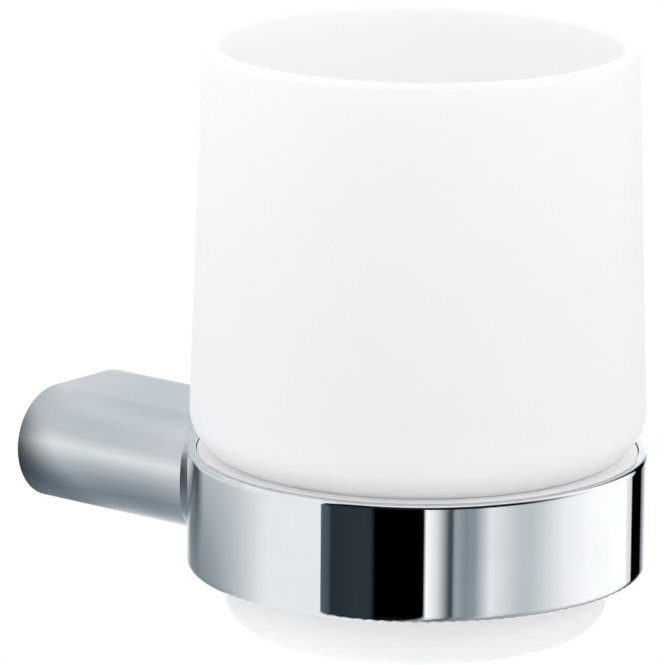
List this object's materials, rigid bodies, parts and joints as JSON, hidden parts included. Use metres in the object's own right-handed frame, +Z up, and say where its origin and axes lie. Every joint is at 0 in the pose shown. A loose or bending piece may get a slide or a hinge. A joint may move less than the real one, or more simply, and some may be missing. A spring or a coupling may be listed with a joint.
{
  "type": "bathroom tumbler with wall holder",
  "caption": "Satin glass tumbler with a round shoulder, standing in a white-lined chrome ring on a flat-topped wall arm with a hidden bracket.",
  "frame": {"origin": "on the wall plane, midway between the two wall screw holes, at the middle height of the arm and the ring", "axes": "+Y points into the wall, so the arm and the ring reach out along -Y; +Z is up, along the tumbler's axis"},
  "size_m": [0.07, 0.1032, 0.0895],
  "materials": {
    "satin_glass": "acid-etched satin",
    "white_plastic": "moulded, fine satin",
    "chrome_plate": "polished plating",
    "bracket_steel": "blasted stainless",
    "screw_steel": "turned stainless"
  },
  "bodies": {
    "wall_bracket": {"wall_bracket": "bracket_steel"},
    "holder": {"holder": "chrome_plate"},
    "clamp_screw": {"clamp_screw": "screw_steel"},
    "ring_liner": {"ring_liner": "white_plastic"},
    "tumbler": {"tumbler": "satin_glass"}
  },
  "joints": [
    {"name": "holder_pull", "type": "slide", "parent": "wall_bracket", "child": "holder", "axis": [0, -1, 0], "range_m": [0, 0.03]},
    {"name": "clamp_screw_travel", "type": "slide", "parent": "holder", "child": "clamp_screw", "axis": [0, 0, -1], "range_m": [0, 0.002]},
    {"name": "liner_lift", "type": "slide", "parent": "holder", "child": "ring_liner", "axis": [0, 0, 1], "range_m": [0, 0.03]},
    {"name": "tumbler_lift", "type": "slide", "parent": "ring_liner", "child": "tumbler", "axis": [0, 0, 1], "range_m": [0, 0.06]}
  ]
}
